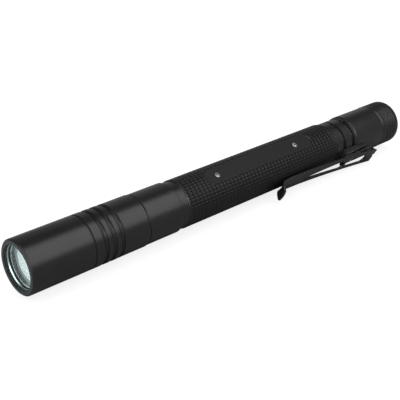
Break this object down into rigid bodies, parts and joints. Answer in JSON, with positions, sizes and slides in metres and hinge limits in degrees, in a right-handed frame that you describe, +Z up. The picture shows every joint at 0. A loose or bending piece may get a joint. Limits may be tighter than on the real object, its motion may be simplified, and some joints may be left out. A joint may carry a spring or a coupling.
{
  "type": "inspection flashlight",
  "caption": "slim pen-sized flashlight with a knurled barrel, screwed side plate, recessed lens, sprung tail push button and slotted pocket clip",
  "frame": {"origin": "under the middle of the light's box, on the surface it lies on", "axes": "+X runs along the long axis from the lamp end to the tail end, +Z points up from the surface"},
  "size_m": [0.1394, 0.0176, 0.0148],
  "materials": {
    "black_anodised": "satin black anodised",
    "plate_grey": "matt dark grey anodised",
    "black_spring_steel": "black coated spring steel",
    "bright_steel": "bright zinc",
    "brass_plain": "machined brass",
    "reflector_bright": "bright vacuum metallised, lightly textured",
    "clear_glass": "clear polished",
    "black_rubber": "moulded silicone rubber",
    "green_board": "circuit board",
    "white_board": "white coated metal-core board",
    "emitter": "phosphor under clear silicone",
    "white_plastic": "moulded",
    "black_plastic": "moulded",
    "cell_wrap": "plain film wrap over a metal can"
  },
  "bodies": {
    "barrel": {"body_tube": "black_anodised", "front_seal": "black_rubber", "side_plate": "plate_grey", "plate_screw_front": "bright_steel", "plate_screw_rear": "bright_steel", "front_cell": "cell_wrap", "rear_cell": "cell_wrap"},
    "head_carrier": {"lens": "clear_glass"},
    "head": {"head_shell": "black_anodised", "lens_gasket": "black_rubber", "reflector": "reflector_bright", "led_spacer": "white_plastic", "led_emitter": "emitter", "led_board": "white_board", "heat_sink": "brass_plain", "driver_board": "green_board", "front_contact": "brass_plain"},
    "tail_carrier": {"tail_spring": "brass_plain"},
    "tail": {"tail_cap": "black_anodised", "rear_seal": "black_rubber", "clip_foot": "black_spring_steel", "clip_screw_front": "bright_steel", "clip_screw_rear": "bright_steel", "contact_plate": "brass_plain", "switch_body": "black_plastic", "end_ring": "black_anodised"},
    "clip": {"pocket_clip": "black_spring_steel"},
    "button": {"tail_button": "black_rubber", "switch_plunger": "white_plastic"}
  },
  "joints": [
    {"name": "head_travel", "type": "slide", "parent": "barrel", "child": "head_carrier", "axis": [-1, 0, 0], "range_m": [0, 0.0043]},
    {"name": "head_turn", "type": "hinge", "parent": "head_carrier", "child": "head", "pos_m": [-0.05273, 0.00161, 0.00765], "axis": [-1, 0, 0], "range_deg": [0, 1548.1]},
    {"name": "tail_travel", "type": "slide", "parent": "barrel", "child": "tail_carrier", "axis": [1, 0, 0], "range_m": [0, 0.0043]},
    {"name": "tail_turn", "type": "hinge", "parent": "tail_carrier", "child": "tail", "pos_m": [0.05028, 0.00161, 0.00765], "axis": [1, 0, 0], "range_deg": [0, 1548.1]},
    {"name": "clip_flex", "type": "hinge", "parent": "tail", "child": "clip", "pos_m": [0.05498, -0.00608, 0.00312], "axis": [0, -0.5075, 0.8616], "range_deg": [0, 5], "stiffness_Nm_per_rad": 1},
    {"name": "button_press", "type": "slide", "parent": "tail", "child": "button", "axis": [-1, 0, 0], "range_m": [0, 0.0012], "stiffness_N_per_m": 2500}
  ],
  "couplings": [
    {"joint": "head_turn", "follows": "head_travel", "rad_per_m": 6283.2},
    {"joint": "tail_turn", "follows": "tail_travel", "rad_per_m": 6283.2}
  ]
}
